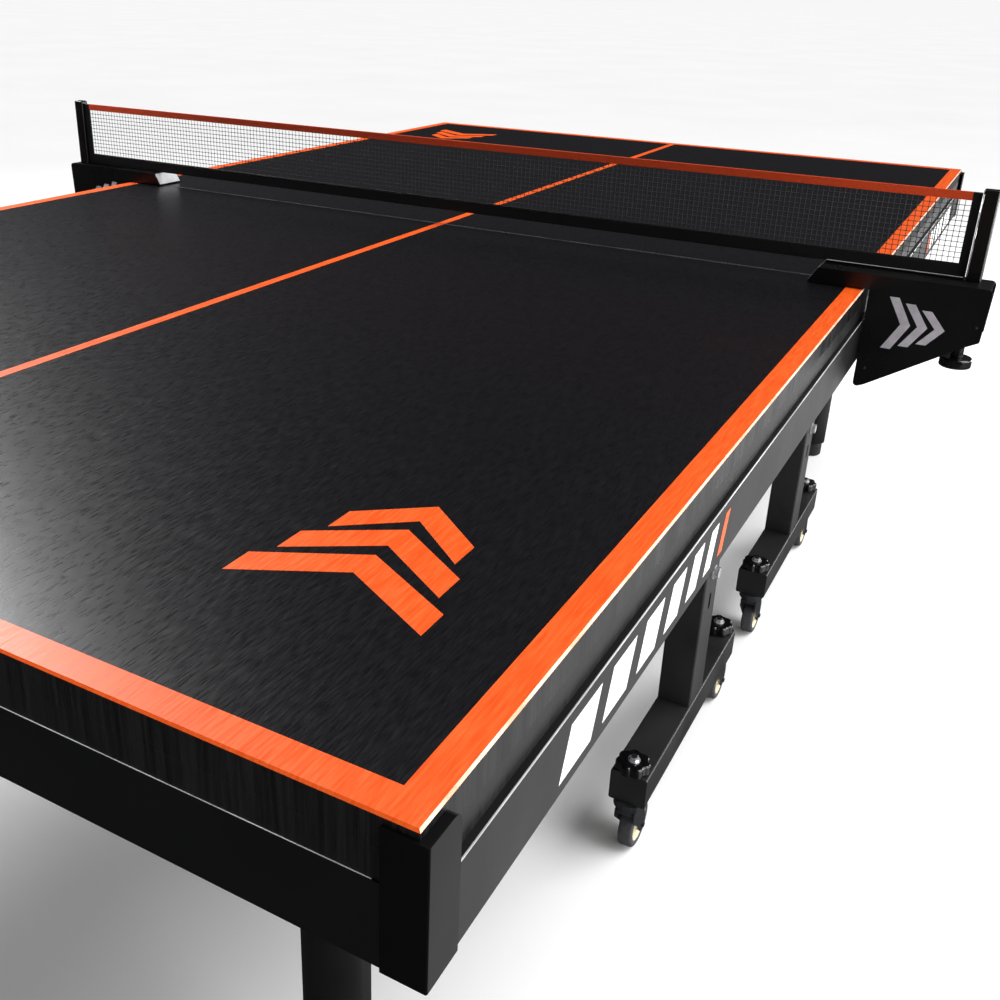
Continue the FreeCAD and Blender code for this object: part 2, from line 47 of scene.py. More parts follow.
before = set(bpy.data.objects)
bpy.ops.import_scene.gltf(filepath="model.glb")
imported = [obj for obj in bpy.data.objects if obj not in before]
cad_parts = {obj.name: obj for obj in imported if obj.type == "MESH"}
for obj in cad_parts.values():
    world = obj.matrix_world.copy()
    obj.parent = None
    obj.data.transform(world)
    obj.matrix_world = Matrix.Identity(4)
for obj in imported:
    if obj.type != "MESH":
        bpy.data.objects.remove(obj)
cad_low, cad_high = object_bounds()

# ---------------------------------------------------------------- driving dimensions
LINE_WIDTH = 26 * MM           # border line
CENTRE_LINE_WIDTH = 15 * MM
BOARD_CHAMFER = 1.5 * MM
PAINT = 0.2 * MM               # how far a painted or printed layer stands out
SEAM_TRIM = 1.2 * MM
# radius of the rod that paints the highlight on the aprons' top edge
APRON_HIGHLIGHT_RADIUS = 0.8 * MM
STRIPE_LEAN = 16 * MM          # how far a stripe's top leads its foot
STRIPE_RISE = 21 * MM          # half a stripe's height
STRIPE_GAP = 24 * MM
STRIPE_WIDTHS = [(58 - 7 * i) * MM for i in range(7)]
STRIPES_START = 185 * MM       # from the table's end
BOARD_MARK_IN = 182.5 * MM     # of the board mark's middle, from the side and from the end
BOARD_MARK_ALONG = 255 * MM
BOARD_CHEVRONS = (-0.062, -0.012, 0.038)   # where each stands along the table, from the mark's middle
BOARD_CHEVRON_REACH = 0.048
BOARD_CHEVRON_RISE = 0.088     # half the first one's width; each next one is narrower by the step
BOARD_CHEVRON_STEP = 0.014
BOARD_CHEVRON_STROKE = 0.032
BRACKET_MARK_X = 845 * MM      # middle of the mark on the net bracket
BRACKET_MARK_Z = 716 * MM
BRACKET_CHEVRONS = (-0.030, -0.006, 0.018)
BRACKET_CHEVRON_REACH = 0.022
BRACKET_CHEVRON_STROKE = 0.014
# the painted highlight on the apron's top edge stops where the corner guards begin
HIGHLIGHT_FROM_END = 37 * MM        # the corner guards cover the apron's edge up to here
HIGHLIGHT_FROM_SIDE = 31 * MM
RIVET_PLACES = ((0.784, 0.640), (0.925, 0.728))      # X and Z on the bracket's face
RIVET_PROFILE = ((2.6, 0.0), (2.4, 0.5), (1.6, 1.0), (0.6, 1.2))   # radius and rise, millimetres
NUT_PROFILE = ((6.6, 0.9), (7.3, 1.5), (7.3, 4.8), (6.4, 5.6))

MESH_PITCH = 8 * MM            # of the net's square mesh
THREAD_RADIUS = 0.45 * MM
KNOT_RADIUS = 0.95 * MM
TAPE_HEIGHT = 12.5 * MM
BAND_HEIGHT = 21.5 * MM
SLEEVE_WIDTH = 12.5 * MM
STITCH_PITCH = 7 * MM
STITCH_LENGTH = 4.5 * MM
STITCH_RADIUS = 0.35 * MM

HALVES = ("near", "far")
SIDES = ("left", "right")
CASTERS = [f"{half}_{side}_{place}" for half in HALVES for side in SIDES for place in ("inner", "outer")]

# ---------------------------------------------------------------- places read from the frame
board_low, board_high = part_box("near_top_board")
HALF_WIDTH = board_high.x
END_Y = -board_low.y
SEAM_Y = -board_high.y
TOP = board_high.z
apron_low, apron_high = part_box("near_apron")
APRON_X = apron_high.x
APRON_END = -apron_low.y
APRON_TOP = apron_high.z
APRON_BOTTOM = apron_low.z
net_low, net_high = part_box("net_fabric")
bracket_low, bracket_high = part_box("net_bracket_right")
post_low, post_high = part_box("net_post_right")


# ---------------------------------------------------------------- material helpers
def srgb(red, green, blue):
    """A screen colour, 0 to 255, as the linear colour that shaders take."""
    shares = (channel / 255 for channel in (red, green, blue))
    return tuple(s / 12.92 if s < 0.04 else ((s + 0.055) / 1.055) ** 2.4 for s in shares)


def new_material(name, **constants):
    """A material with one Principled shader; constants are set on the shader's own sockets."""
    material = bpy.data.materials.new(name)
    material.use_nodes = True
    tree = material.node_tree
    shader = tree.nodes["Principled BSDF"]
    for socket, value in constants.items():
        shader.inputs[socket.replace("_", " ").title().replace("Ior", "IOR")].default_value = value
    return material, tree, shader


def noise(tree, per_metre, detail=4.0):
    """Noise laid in the part's own place; per_metre is its fineness along X, Y and Z."""
    coordinates = tree.nodes.new("ShaderNodeTexCoord")
    mapping = tree.nodes.new("ShaderNodeMapping")
    mapping.inputs["Scale"].default_value = per_metre
    texture = tree.nodes.new("ShaderNodeTexNoise")
    texture.inputs["Scale"].default_value = 1.0
    texture.inputs["Detail"].default_value = detail
    tree.links.new(coordinates.outputs["Object"], mapping.inputs["Vector"])
    tree.links.new(mapping.outputs["Vector"], texture.inputs["Vector"])
    return texture.outputs["Fac"]


def spread(tree, value, low, high, source=(0.3, 0.7)):
    """The value's middle range, stretched to run from low to high."""
    node = tree.nodes.new("ShaderNodeMapRange")
    node.inputs["From Min"].default_value, node.inputs["From Max"].default_value = source
    node.inputs["To Min"].default_value = low
    node.inputs["To Max"].default_value = high
    tree.links.new(value, node.inputs["Value"])
    return node.outputs["Result"]


def blend_colours(tree, share, dark, light):
    """A colour between dark and light; either may be a colour or another node's output."""
    node = tree.nodes.new("ShaderNodeMix")
    node.data_type = "RGBA"
    for socket, colour in ((node.inputs[6], dark), (node.inputs[7], light)):
        if isinstance(colour, tuple):
            socket.default_value = (*colour, 1.0)
        else:
            tree.links.new(colour, socket)
    tree.links.new(share, node.inputs[0])
    return node.outputs[2]


def relief(tree, shader, height, depth, strength=1.0):
    """Bumps the surface by height, depth metres at most."""
    node = tree.nodes.new("ShaderNodeBump")
    node.inputs["Distance"].default_value = depth
    node.inputs["Strength"].default_value = strength
    tree.links.new(height, node.inputs["Height"])
    tree.links.new(node.outputs["Normal"], shader.inputs["Normal"])


def grained(name, dark, light, per_metre, rough, depth, detail=4.0, **constants):
    """A finish whose colour, roughness and relief all follow one grain."""
    material, tree, shader = new_material(name, **constants)
    grain = noise(tree, per_metre, detail)
    share = spread(tree, grain, 0.0, 1.0)
    tree.links.new(blend_colours(tree, share, dark, light), shader.inputs["Base Color"])
    tree.links.new(spread(tree, grain, *rough), shader.inputs["Roughness"])
    relief(tree, shader, grain, depth)
    return material


def powder_coat(name, dark, light, rough=(0.38, 0.52), specular=0.4):
    """Painted steel: an even colour with slight clouding and a fine orange-peel skin."""
    material, tree, shader = new_material(name, specular_ior_level=specular)
    clouds = noise(tree, (9, 9, 9))
    share = spread(tree, clouds, 0.0, 1.0)
    tree.links.new(blend_colours(tree, share, dark, light), shader.inputs["Base Color"])
    tree.links.new(spread(tree, clouds, *rough), shader.inputs["Roughness"])
    relief(tree, shader, noise(tree, (900, 900, 900), 2.0), 0.03 * MM, 0.5)
    return material


def board_finish():
    """Black playing surface brushed along the table, with brushed black edges below it."""
    material, tree, shader = new_material("playing_board", specular_ior_level=0.3)
    brushed = noise(tree, (600, 70, 1), 5.0)
    mottled = noise(tree, (130, 60, 1), 3.0)
    upright = noise(tree, (260, 260, 9), 5.0)
    coordinates = tree.nodes.new("ShaderNodeTexCoord")
    parts = tree.nodes.new("ShaderNodeSeparateXYZ")
    tree.links.new(coordinates.outputs["Object"], parts.inputs["Vector"])
    is_top = spread(tree, parts.outputs["Z"], 0.0, 1.0, (TOP - 0.4 * MM, TOP - 0.2 * MM))
    top = blend_colours(tree, spread(tree, mottled, 0.0, 1.0), srgb(7, 6, 9), srgb(14, 13, 17))
    edge = blend_colours(tree, spread(tree, upright, 0.0, 1.0), srgb(10, 10, 11), srgb(30, 30, 32))
    tree.links.new(blend_colours(tree, is_top, edge, top), shader.inputs["Base Color"])
    tree.links.new(spread(tree, brushed, 0.24, 0.38), shader.inputs["Roughness"])
    height = blend_colours(tree, is_top, upright, brushed)
    relief(tree, shader, height, 0.2 * MM, 0.7)
    return material


def woven(name, dark, light, per_metre, rough=0.75):
    """Cloth with a plain weave, from two crossing sets of waves."""
    material, tree, shader = new_material(name, roughness=rough, sheen_weight=0.05, specular_ior_level=0.2)
    coordinates = tree.nodes.new("ShaderNodeTexCoord")
    waves = []
    for direction in ("X", "Z"):
        wave = tree.nodes.new("ShaderNodeTexWave")
        wave.bands_direction = direction
        wave.inputs["Scale"].default_value = per_metre
        wave.inputs["Distortion"].default_value = 0.4
        tree.links.new(coordinates.outputs["Object"], wave.inputs["Vector"])
        waves.append(wave.outputs["Fac"])
    weave = tree.nodes.new("ShaderNodeMath")
    weave.operation = "MULTIPLY"
    tree.links.new(waves[0], weave.inputs[0])
    tree.links.new(waves[1], weave.inputs[1])
    share = spread(tree, weave.outputs["Value"], 0.0, 1.0, (0.0, 1.0))
    tree.links.new(blend_colours(tree, share, dark, light), shader.inputs["Base Color"])
    relief(tree, shader, weave.outputs["Value"], 0.15 * MM, 0.6)
    return material


# ---------------------------------------------------------------- finishes
BLACK = srgb(14, 14, 15)
SOOT = srgb(24, 24, 25)
ORANGE = srgb(230, 90, 12)
DEEP_ORANGE = srgb(214, 73, 6)

board = board_finish()
line_paint = grained("line_paint", DEEP_ORANGE, ORANGE, (420, 34, 260), (0.32, 0.48), 0.12 * MM)
# pale peach paint on the long sides' chamfer: a painted highlight where the bevel catches the light
painted_bevel_highlight = grained(
    "pale_bevel_painted_highlight", srgb(255, 176, 138), srgb(255, 226, 206), (40, 40, 40), (0.25, 0.35), 0.0)
wood_edge = grained(
    "brushed_black_edge", srgb(9, 9, 10), srgb(28, 28, 30), (260, 260, 9), (0.36, 0.48), 0.12 * MM, 5.0)
apron_paint = powder_coat("apron_paint", srgb(13, 13, 14), srgb(18, 18, 19), (0.36, 0.46), 0.4)
guard_paint = powder_coat("guard_paint", srgb(7, 7, 8), srgb(11, 11, 12), (0.32, 0.42), 0.2)
black_steel = powder_coat("black_steel", BLACK, SOOT)
post_paint = powder_coat("post_paint", srgb(30, 30, 31), srgb(38, 38, 39), (0.36, 0.5))
bracket_paint = powder_coat("bracket_paint", srgb(9, 9, 10), srgb(14, 14, 15), (0.24, 0.34))
# black post paint with a reddish tint that is a painted reflection of the orange lines
net_post_paint = powder_coat("net_post_paint", srgb(13, 10, 10), srgb(20, 15, 14), (0.18, 0.28))
rubber = grained("foot_rubber", srgb(20, 20, 21), srgb(34, 34, 35), (350, 350, 350), (0.7, 0.85), 0.08 * MM)
tread = grained("tread_rubber", srgb(52, 52, 55), srgb(74, 74, 78), (300, 300, 300), (0.5, 0.65), 0.08 * MM)
hub_plastic = grained(
    "hub_plastic", srgb(206, 193, 158), srgb(232, 222, 192), (60, 60, 60), (0.3, 0.4), 0.02 * MM)
zinc = grained(
    "zinc_plate", srgb(150, 150, 154), srgb(205, 205, 208), (220, 220, 60), (0.22, 0.4), 0.03 * MM,
    metallic=0.5)
chrome = grained(
    "chrome", srgb(205, 206, 210), srgb(238, 238, 240), (30, 30, 30), (0.08, 0.16), 0.0, metallic=0.7)
caster_steel = grained(
    "caster_steel", srgb(44, 45, 48), srgb(70, 71, 75), (150, 150, 40), (0.3, 0.42), 0.03 * MM,
    metallic=0.6)
brake_steel = grained(
    "brake_steel", srgb(150, 152, 156), srgb(196, 198, 202), (180, 50, 180), (0.28, 0.4), 0.03 * MM,
    metallic=0.2)
knob_plastic = grained(
    "knob_plastic", srgb(7, 7, 8), srgb(15, 15, 16), (200, 200, 200), (0.14, 0.24), 0.02 * MM,
    coat_weight=0.5, coat_roughness=0.08)
white_print = grained(
    "white_print", srgb(232, 231, 230), srgb(250, 250, 249), (60, 60, 60), (0.4, 0.5), 0.0)
grey_print = grained("grey_print", srgb(150, 146, 152), srgb(172, 167, 174), (60, 60, 60), (0.4, 0.5), 0.0)
seam_edge = grained("seam_edge", srgb(70, 70, 73), srgb(98, 98, 101), (20, 20, 20), (0.3, 0.4), 0.0)
# pale metal colour for real trim, also used for painted highlights on the apron edges and the bracket beaks
trim_and_painted_highlight = grained("bare_trim_and_painted_highlight", srgb(176, 177, 180), srgb(226, 226, 228), (20, 20, 20), (0.25, 0.35), 0.0)
thread = woven("net_thread", srgb(44, 44, 46), srgb(74, 74, 77), 2400)
tape_cloth = woven("tape_cloth", srgb(172, 52, 12), srgb(210, 72, 22), 900)
band_cloth = woven("band_cloth", srgb(13, 13, 14), srgb(34, 34, 36), 500, 0.45)

NODE_FINISHES = {
    "top_board": board,
    "edge_rails": wood_edge,
    "apron": apron_paint,
    "corner_guards": guard_paint,
    "frame_rails": black_steel,
    "leg_brackets": black_steel,
    "leg_frame": black_steel,
    "leg_feet": rubber,
    "posts": post_paint,
    "foot_beams": post_paint,
    "cross_tube": black_steel,
    "fasteners": zinc,
    "fork": caster_steel,
    "brake": brake_steel,
    "level_knob": knob_plastic,
    "net_bracket": bracket_paint,
    "net_bracket_pads": rubber,
    "net_post": net_post_paint,
    "net_screw": knob_plastic,
}


def finish_nodes():
    """Gives each CAD node the finish whose key is the longest that its name holds."""
    for name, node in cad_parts.items():
        keys = [key for key in NODE_FINISHES if key in name]
        if not keys:
            continue
        material = NODE_FINISHES[max(keys, key=len)]
        if not node.material_slots:
            node.data.materials.append(material)
        for material_slot in node.material_slots:
            material_slot.material = material


# ---------------------------------------------------------------- mesh helpers
class Shape:
    """Collects the faces of one piece, each with the number of its material."""

    def __init__(self):
        self.points, self.faces, self.numbers = [], [], []

    def add(self, points, faces, number=0):
        start = len(self.points)
        self.points += [tuple(p) for p in points]
        self.faces += [tuple(start + i for i in face) for face in faces]
        self.numbers += [number] * len(faces)

    def loft(self, rings, number=0, capped=True):
        """Joins rings of equal length, each closed from its last point to its first."""
        size = len(rings[0])
        faces = []
        for r in range(len(rings) - 1):
            for i in range(size):
                j = (i + 1) % size
                faces.append((r * size + i, r * size + j, (r + 1) * size + j, (r + 1) * size + i))
        if capped:
            faces.append(tuple(reversed(range(size))))
            faces.append(tuple(range((len(rings) - 1) * size, len(rings) * size)))
        self.add([p for ring in rings for p in ring], faces, number)

    def rod(self, start, end, radius, sides, number=0):
        """A straight bar with flat ends, round or with a few sides."""
        start, end = Vector(start), Vector(end)
        turn = (end - start).to_track_quat("Z", "Y")
        ring = []
        for i in range(sides):
            angle = 2 * math.pi * i / sides
            ring.append(turn @ Vector((radius * math.cos(angle), radius * math.sin(angle), 0)))
        self.loft([[start + p for p in ring], [end + p for p in ring]], number)

    def lathe(self, profile, centre, number=0, steps=40):
        """Turns (radius, distance along X) points about the X axis through centre."""
        rings = []
        for i in range(steps):
            angle = 2 * math.pi * i / steps
            out_y, out_z = math.cos(angle), math.sin(angle)
            rings.append([
                (centre[0] + along, centre[1] + radius * out_y, centre[2] + radius * out_z)
                for radius, along in profile])
        rings.append(rings[0])
        self.loft(rings, number, capped=False)

    def make(self, name, body, slot, *materials, smooth=False, turned=False):
        """Makes the piece, half-turned about the table's middle if asked, riding on body."""
        sign = -1 if turned else 1
        mesh = bpy.data.meshes.new(name)
        mesh.from_pydata([(sign * x, sign * y, z) for x, y, z in self.points], [], self.faces)
        for material in materials:
            mesh.materials.append(material)
        mesh.polygons.foreach_set("material_index", self.numbers)
        mesh.polygons.foreach_set("use_smooth", [smooth] * len(self.faces))
        mesh.validate()
        mesh.update()
        piece = bpy.data.objects.new(name, mesh)
        bpy.context.scene.collection.objects.link(piece)
        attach(piece, body)
        return piece


def decal(shape, outline, to_place, number=0):
    """A thin flat shape: outline points (u, v) are placed by to_place(u, v, height)."""
    shape.loft([[to_place(u, v, height) for u, v in outline] for height in (-PAINT, PAINT)], number)


def chevron(middle, reach, rise, width):
    """Outline of an arrow bend that points along +u, with arms rising to each side."""
    return [
        (middle + reach, 0.0), (middle, rise), (middle - width, rise),
        (middle + reach - width, 0.0), (middle - width, -rise), (middle, -rise)]


def chevron_halves(outline):
    """The bend's two arms as four-sided outlines, so that neither is hollow."""
    tip, upper, upper_back, back, lower_back, lower = outline
    return [tip, upper, upper_back, back], [back, lower_back, lower, tip]


# ---------------------------------------------------------------- boards
def border_lines(half):
    """The border line on three edges, folded down over the chamfer, and the centre line; the chamfer along
    the long sides gets a pale painted highlight.
    """
    shape = Shape()
    profile = [
        (LINE_WIDTH, PAINT), (BOARD_CHAMFER, PAINT), (-PAINT, -BOARD_CHAMFER),
        (2 * BOARD_CHAMFER, -2 * BOARD_CHAMFER), (LINE_WIDTH, -PAINT)]
    corners = [
        (-HALF_WIDTH, -SEAM_Y, 1, 0), (-HALF_WIDTH, -END_Y, 1, 1),
        (HALF_WIDTH, -END_Y, -1, 1), (HALF_WIDTH, -SEAM_Y, -1, 0)]
    rings = [[(x + dx * d, y + dy * d, TOP + rise) for d, rise in profile] for x, y, dx, dy in corners]
    shape.loft(rings)
    first_side = len(profile)
    # painted highlight: the chamfer faces of both long sides take the pale paint, while the end's chamfer
    # stays orange
    for leg in (0, 2):
        shape.numbers[leg * first_side + 1] = 1
    half_line = CENTRE_LINE_WIDTH / 2
    outline = [
        (-half_line, -END_Y + LINE_WIDTH), (half_line, -END_Y + LINE_WIDTH),
        (half_line, -SEAM_Y), (-half_line, -SEAM_Y)]
    decal(shape, outline, lambda u, v, height: (u, v, TOP + height))
    shape.make(half + "_lines", half + "_half", "board_paint", line_paint, painted_bevel_highlight, turned=half == "far")


def seam_trim(half):
    """Thin grey edging where the half meets the other one."""
    shape = Shape()
    side = HALF_WIDTH - LINE_WIDTH
    middle = CENTRE_LINE_WIDTH / 2
    for start, end in ((-side, -middle), (middle, side)):
        outer = -SEAM_Y - SEAM_TRIM
        outline = [(start, outer), (end, outer), (end, -SEAM_Y), (start, -SEAM_Y)]
        decal(shape, outline, lambda u, v, height: (u, v, TOP + height))
    shape.make(half + "_seam_trim", half + "_half", "board_paint", seam_edge, turned=half == "far")


def board_mark(half):
    """Three chevrons in a row, printed near the corner of the playing surface."""
    shape = Shape()
    centre = (HALF_WIDTH - BOARD_MARK_IN, BOARD_MARK_ALONG - END_Y)
    for number, middle in enumerate(BOARD_CHEVRONS):
        rise = BOARD_CHEVRON_RISE - BOARD_CHEVRON_STEP * number
        outline = chevron(middle, BOARD_CHEVRON_REACH, rise, BOARD_CHEVRON_STROKE)
        for arm in chevron_halves(outline):
            decal(shape, arm, lambda u, v, height: (centre[0] + v, centre[1] + u, TOP + height))
    shape.make(half + "_board_mark", half + "_half", "board_paint", line_paint, turned=half == "far")


# ---------------------------------------------------------------- aprons
def apron_marks(half):
    """Leaning stripes that thin out along each side apron, with one orange stripe ahead of them."""
    middle_z = (APRON_TOP + APRON_BOTTOM) / 2 - 1 * MM
    for side in (-1, 1):
        shape = Shape()
        start = STRIPES_START - END_Y
        for number, width in enumerate(STRIPE_WIDTHS):
            outline = [
                (start, -STRIPE_RISE), (start + width, -STRIPE_RISE),
                (start + width + STRIPE_LEAN, STRIPE_RISE), (start + STRIPE_LEAN, STRIPE_RISE)]
            last = number == len(STRIPE_WIDTHS) - 1
            decal(
                shape, outline, lambda u, v, height: (side * (APRON_X + height), u, middle_z + v),
                number=1 if last else 0)
            start += width + STRIPE_GAP
        name = "left" if (side < 0) == (half == "near") else "right"
        shape.make(
            f"{half}_{name}_apron_stripes", half + "_half", "apron_paint", white_print, line_paint,
            turned=half == "far")


def apron_ledge_highlight(half):
    """Painted highlight: thin bright rods along the top edge of the aprons, outside the wood, between the
    guards, where the apron's ledge catches the light.
    """
    shape = Shape()
    radius = APRON_HIGHLIGHT_RADIUS
    guard_y = -END_Y + HIGHLIGHT_FROM_END
    guard_x = HALF_WIDTH - HIGHLIGHT_FROM_SIDE
    # painted highlight: pale rods standing for the light caught by the apron's top ledge
    for side in (-1, 1):
        x = side * (APRON_X - radius / 2)
        shape.rod((x, guard_y, APRON_TOP), (x, -SEAM_Y, APRON_TOP), radius, 8)
    y = -APRON_END + radius
    shape.rod((-guard_x, y, APRON_TOP), (guard_x, y, APRON_TOP), radius / 2, 8)
    shape.make(
        half + "_apron_ledge_highlight", half + "_half", "apron_paint", trim_and_painted_highlight, smooth=True, turned=half == "far")


# ---------------------------------------------------------------- casters and knobs
def caster_wheel(stem):
    """Grey tread on a cream hub with a raised boss; it stands for the plain CAD wheel."""
    low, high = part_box(stem + "_wheel")
    centre = (low + high) / 2
    radius, half = (high.z - low.z) / 2, (high.x - low.x) / 2
    rim = 0.72 * radius
    shoulder = 5 * MM
    tyre = [(rim, -half + 1 * MM), (radius - shoulder, -half)]
    for i in range(1, 6):
        angle = math.pi / 2 * i / 6
        tyre.append((
            radius - shoulder + shoulder * math.sin(angle), -half + shoulder - shoulder * math.cos(angle)))
    tyre += [(r, -along) for r, along in reversed(tyre)]
    hub = [
        (4.2 * MM, -half + 0.5 * MM), (9.5 * MM, -half + 0.5 * MM), (11 * MM, -half + 2 * MM),
        (12 * MM, -half + 4 * MM), (rim - 4 * MM, -half + 4 * MM), (rim - 2 * MM, -half + 1.5 * MM),
        (rim + 0.4 * MM, -half + 1.2 * MM)]
    hub += [(r, -along) for r, along in reversed(hub)]
    shape = Shape()
    shape.lathe(tyre, centre, 0)
    shape.lathe(hub, centre, 1)
    for i in range(5):
        angle = 2 * math.pi * i / 5
        y = centre.y + 0.5 * radius * math.cos(angle)
        z = centre.z + 0.5 * radius * math.sin(angle)
        reach = half - 3 * MM
        shape.rod((centre.x - reach, y, z), (centre.x + reach, y, z), 2.4 * MM, 12, 1)
    piece = shape.make(
        stem + "_tyre_and_hub", stem + "_wheel", "caster_wheel", tread, hub_plastic, smooth=True)
    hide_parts(stem + "_wheel")


def knob_nut(stem):
    """Washer and hexagon nut round the stud that stands in the middle of the knob."""
    low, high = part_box(stem + "_level_knob")
    centre = (low + high) / 2
    face = high.z - 3 * MM
    shape = Shape()
    shape.rod((centre.x, centre.y, face), (centre.x, centre.y, face + 0.9 * MM), 9 * MM, 32, 0)
    rings = []
    for radius, rise in NUT_PROFILE:
        corners = [(math.cos(math.pi / 3 * i), math.sin(math.pi / 3 * i)) for i in range(6)]
        rings.append([
            (centre.x + radius * MM * x, centre.y + radius * MM * y, face + rise * MM) for x, y in corners])
    shape.loft(rings, 0)
    shape.rod((centre.x, centre.y, face), (centre.x, centre.y, face + 7.6 * MM), 4.2 * MM, 24, 1)
    shape.make(stem + "_knob_nut", stem + "_level_knob", "knob_plastic", chrome, black_steel)


# ---------------------------------------------------------------- net set
def net_cloth():
    """Knotted square mesh between an orange top tape, a black foot band and two end sleeves."""
    shape = Shape()
    half_thick = (net_high.y - net_low.y) / 2
    side = net_high.x - SLEEVE_WIDTH
    mesh_low, mesh_high = net_low.z + BAND_HEIGHT, net_high.z - TAPE_HEIGHT

    def strip(x0, x1, z0, z1, thick, number):
        """A flat ribbon along X with rounded long edges."""
        low, high = z0 + 0.6 * MM, z1 - 0.6 * MM
        profile = [
            (-thick, low), (-thick, high), (-thick / 2, z1), (thick / 2, z1),
            (thick, high), (thick, low), (thick / 2, z0), (-thick / 2, z0)]
        shape.loft([[(x, y, z) for y, z in profile] for x in (x0, x1)], number)

    strip(-side, side, mesh_high, net_high.z, half_thick, 1)
    strip(-side, side, net_low.z, mesh_low, half_thick, 2)
    for end in (-1, 1):
        inner, outer = sorted((end * side, end * net_high.x))
        strip(inner, outer, net_low.z, net_high.z, half_thick, 2)
    columns = round(2 * side / MESH_PITCH)
    rows = round((mesh_high - mesh_low) / MESH_PITCH)
    across = [-side + 2 * side * i / columns for i in range(1, columns)]
    upward = [mesh_low + (mesh_high - mesh_low) * i / rows for i in range(1, rows)]
    lean = THREAD_RADIUS
    for x in across:
        shape.rod((x, -lean, mesh_low - 1 * MM), (x, -lean, mesh_high + 1 * MM), THREAD_RADIUS, 4, 0)
    for z in upward:
        shape.rod((-side - 1 * MM, lean, z), (side + 1 * MM, lean, z), THREAD_RADIUS, 4, 0)
        for x in across:
            shape.rod((x, -2.2 * lean, z), (x, 2.2 * lean, z), KNOT_RADIUS, 6, 0)
    stitches = int(2 * side / STITCH_PITCH)
    for face in (-1, 1):
        y = face * half_thick
        for z, number in ((mesh_high + 2 * MM, 1), (mesh_low - 2.5 * MM, 2)):
            for i in range(stitches):
                x = -side + (i + 0.25) * STITCH_PITCH
                shape.rod((x, y, z), (x + STITCH_LENGTH, y, z), STITCH_RADIUS, 4, number)
    piece = shape.make("net_cloth", "net", "net_cloth", thread, tape_cloth, band_cloth)
    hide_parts("net_fabric")


def post_trim(side):
    """Bright edge strip down the inner corner of the net post."""
    shape = Shape()
    x, y = post_low.x + 1.2 * MM, post_low.y + 0.9 * MM
    shape.rod((x, y, bracket_high.z + 2 * MM), (x, y, post_high.z - 6 * MM), 1.0 * MM, 8)
    shape.make(f"{side}_post_trim", "net", "net_post_paint", chrome, smooth=True, turned=side == "left")


def bracket_details(side):
    """Chevrons on the wing, a painted highlight on the beak, a pale strip on the ledge and rivets."""
    marks = Shape()
    front = bracket_low.y
    for face in (front, bracket_high.y):
        for number, middle in enumerate(BRACKET_CHEVRONS):
            rise = (40 - 7 * number) * MM
            outline = chevron(middle, BRACKET_CHEVRON_REACH, rise, BRACKET_CHEVRON_STROKE)
            for arm in chevron_halves(outline):
                decal(
                    marks, arm,
                    lambda u, v, height: (BRACKET_MARK_X + u, face + height, BRACKET_MARK_Z + v))
    marks.make(f"{side}_bracket_mark", "net_set", "bracket_paint", grey_print, turned=side == "left")

    # painted highlight: a pale plate on the beak's slope stands for the light that the slope reflects
    bright = Shape()
    tip_x, tip_z = bracket_low.x, TOP + 2 * MM
    run, rise = 14 * MM, 23 * MM
    slope = Vector((-rise, 0, run)).normalized() * 0.5 * MM
    inset = 3 * MM
    rings = []
    for share in (0.06, 0.94):
        foot = Vector((tip_x + run * share, 0, tip_z + rise * share))
        rings.append([
            foot + slope * lift + Vector((0, y, 0))
            for y, lift in ((front + inset, 0), (front + inset, 1), (bracket_high.y - inset, 1),
                            (bracket_high.y - inset, 0))])
    bright.loft(rings)
    bright.make(f"{side}_beak_painted_highlight", "net_set", "bracket_paint", trim_and_painted_highlight, turned=side == "left")

    ledge = Shape()
    ledge_top = bracket_high.z
    outline = [
        (bracket_low.x + 17 * MM, -6.8 * MM), (net_high.x - 2 * MM, -6.8 * MM),
        (net_high.x - 2 * MM, -3.2 * MM), (bracket_low.x + 17 * MM, -3.2 * MM)]
    decal(ledge, outline, lambda u, v, height: (u, v, ledge_top + height))
    ledge.make(f"{side}_ledge_strip", "net_set", "bracket_paint", trim_and_painted_highlight, turned=side == "left")

    rivets = Shape()
    for x, z in RIVET_PLACES:
        rings = []
        for radius, out in RIVET_PROFILE:
            rings.append([
                (x + radius * MM * math.cos(math.pi / 6 * i), front - out * MM,
                 z + radius * MM * math.sin(math.pi / 6 * i))
                for i in range(12)])
        rivets.loft(rings)
    rivets.make(
        f"{side}_bracket_rivets", "net_set", "bracket_paint", black_steel,
        smooth=True, turned=side == "left")


# ---------------------------------------------------------------- studio
CAMERA_PLACE = (0.9835, -1.7575, 1.1754)
CAMERA_TURN = (66.5, -1.27, 29.54)         # degrees about X, Y and Z
CAMERA_LENS = 38.89                     # millimetres, on a 36 mm sensor
CAMERA_SHIFT = (0.06, -0.05)


def softbox(name, place, target, size, power):
    """A rectangular lamp at place that faces target."""
    lamp = bpy.data.lights.new(name, "AREA")
    lamp.shape = "RECTANGLE"
    lamp.size, lamp.size_y = size
    lamp.energy = power
    light = bpy.data.objects.new(name, lamp)
    light.location = place
    light.rotation_euler = (Vector(target) - Vector(place)).to_track_quat("-Z", "Y").to_euler()
    light.visible_camera = False
    bpy.context.scene.collection.objects.link(light)


def overhead_sun():
    """Even light over the whole floor, soft-edged, from the right."""
    lamp = bpy.data.lights.new("overhead_sun", "SUN")
    lamp.energy = 2.75
    lamp.angle = math.radians(45)
    light = bpy.data.objects.new("overhead_sun", lamp)
    light.rotation_euler = Vector((-0.6, -0.15, -1.0)).to_track_quat("-Z", "Y").to_euler()
    bpy.context.scene.collection.objects.link(light)


